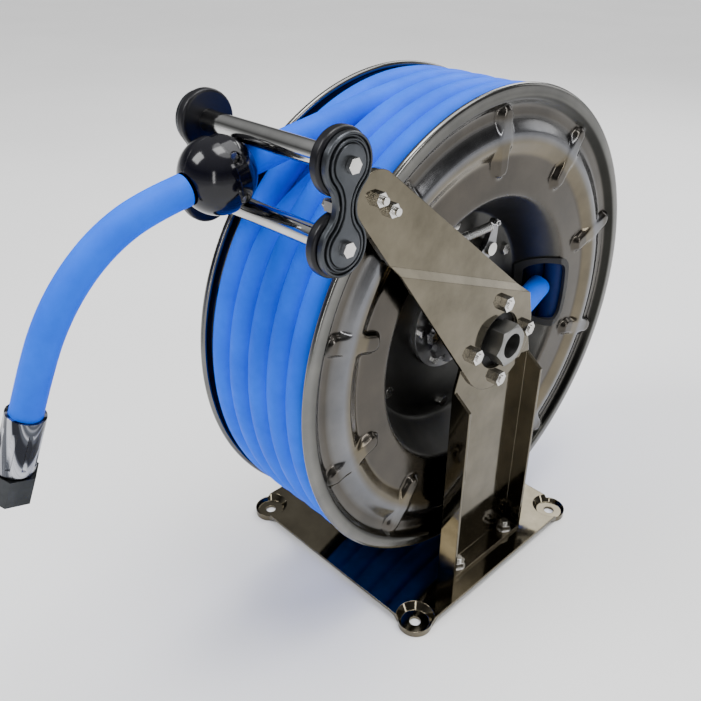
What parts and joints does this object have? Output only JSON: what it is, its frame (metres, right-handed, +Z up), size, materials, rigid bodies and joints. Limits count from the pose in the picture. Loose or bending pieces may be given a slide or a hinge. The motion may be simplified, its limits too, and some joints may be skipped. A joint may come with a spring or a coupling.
{
  "type": "fire hose reel",
  "caption": "Spring-retracting hose reel: flanged drum on a hollow shaft held by one pedestal, with an arm, roller hose guide, stopper ball, blue hose and base plate.",
  "frame": {"origin": "centre of the four base holes, on the underside of the base feet", "axes": "+X along the drum's axle towards the pedestal, -Y the side the hose leaves on, +Z up"},
  "size_m": [0.259, 0.6469, 0.4945],
  "materials": {
    "stainless": "polished stainless sheet",
    "shaft_steel": "machined steel",
    "fitting_steel": "plated satin steel",
    "fastener": "bright stainless fasteners",
    "grey_casting": "satin grey casting",
    "black_plastic": "glossy black moulding",
    "blue_hose": "smooth blue hose cover",
    "hub_casting": "machined casting",
    "bearing_steel": "ground steel",
    "spring_steel": "spring steel",
    "brass_fitting": "machined brass",
    "black_rubber": "black rubber",
    "roller_chrome": "bright plated tube"
  },
  "bodies": {
    "frame": {"base_plate": "stainless", "pedestal": "stainless", "guide_arm": "stainless", "guide_bracket": "stainless", "main_shaft": "shaft_steel", "spring_arbor": "shaft_steel", "shaft_washer": "shaft_steel", "ratchet_wheel": "shaft_steel", "roller_axles": "shaft_steel", "inlet_fitting": "fitting_steel", "hose_ferrule": "fitting_steel", "hose_stem": "fitting_steel", "foot_bolts": "fastener", "foot_nuts": "fastener", "arm_bolts": "fastener", "arm_nuts": "fastener", "clamp_bolts": "fastener", "clamp_nuts": "fastener", "neck_screws": "fastener", "axle_screws": "fastener", "ball_screws": "fastener", "shaft_nut": "fastener", "near_end_plate": "grey_casting", "far_end_plate": "grey_casting", "ball_near_half": "black_plastic", "ball_far_half": "black_plastic", "hose_last_turn": "blue_hose", "hose_tail": "blue_hose"},
    "drum": {"near_flange": "stainless", "far_flange": "stainless", "drum_core": "stainless", "spring_case": "stainless", "spring_cover": "stainless", "tie_bolts": "fastener", "tie_nuts": "fastener", "hub_screws": "fastener", "case_screws": "fastener", "cover_screws": "fastener", "spring_rivet": "fastener", "pawl_pin": "fastener", "spring_post": "fastener", "spacer_tubes": "fastener", "hubs": "hub_casting", "bearings": "bearing_steel", "power_spring": "spring_steel", "pawl_spring": "spring_steel", "swivel_body": "brass_fitting", "hose_adapter": "brass_fitting", "inner_ferrule": "brass_fitting", "swivel_seals": "black_rubber", "window_edging": "black_rubber", "hose_coil": "blue_hose", "hose_inner": "blue_hose"},
    "pawl": {"pawl": "shaft_steel"},
    "top_roller": {"top_roller": "roller_chrome", "top_roller_discs": "black_plastic"},
    "bottom_roller": {"bottom_roller": "roller_chrome", "bottom_roller_discs": "black_plastic"},
    "end_nut": {"end_nut": "fitting_steel"}
  },
  "joints": [
    {"name": "drum", "type": "hinge", "parent": "frame", "child": "drum", "pos_m": [0.011, 0.0035, 0.266], "axis": [1, 0, 0], "continuous": true, "deforming": ["power_spring"]},
    {"name": "pawl", "type": "hinge", "parent": "drum", "child": "pawl", "pos_m": [0.044, 0.0415, 0.33182], "axis": [1, 0, 0], "range_deg": [0, 8.5], "deforming": ["pawl_spring"]},
    {"name": "top_roller", "type": "hinge", "parent": "frame", "child": "top_roller", "pos_m": [0.011, -0.1895, 0.471], "axis": [1, 0, 0], "continuous": true},
    {"name": "bottom_roller", "type": "hinge", "parent": "frame", "child": "bottom_roller", "pos_m": [0.011, -0.1945, 0.415], "axis": [1, 0, 0], "continuous": true},
    {"name": "end_nut", "type": "hinge", "parent": "frame", "child": "end_nut", "pos_m": [-0.04498, -0.39367, 0.25827], "axis": [-0.1948, -0.2947, -0.9355], "continuous": true}
  ]
}
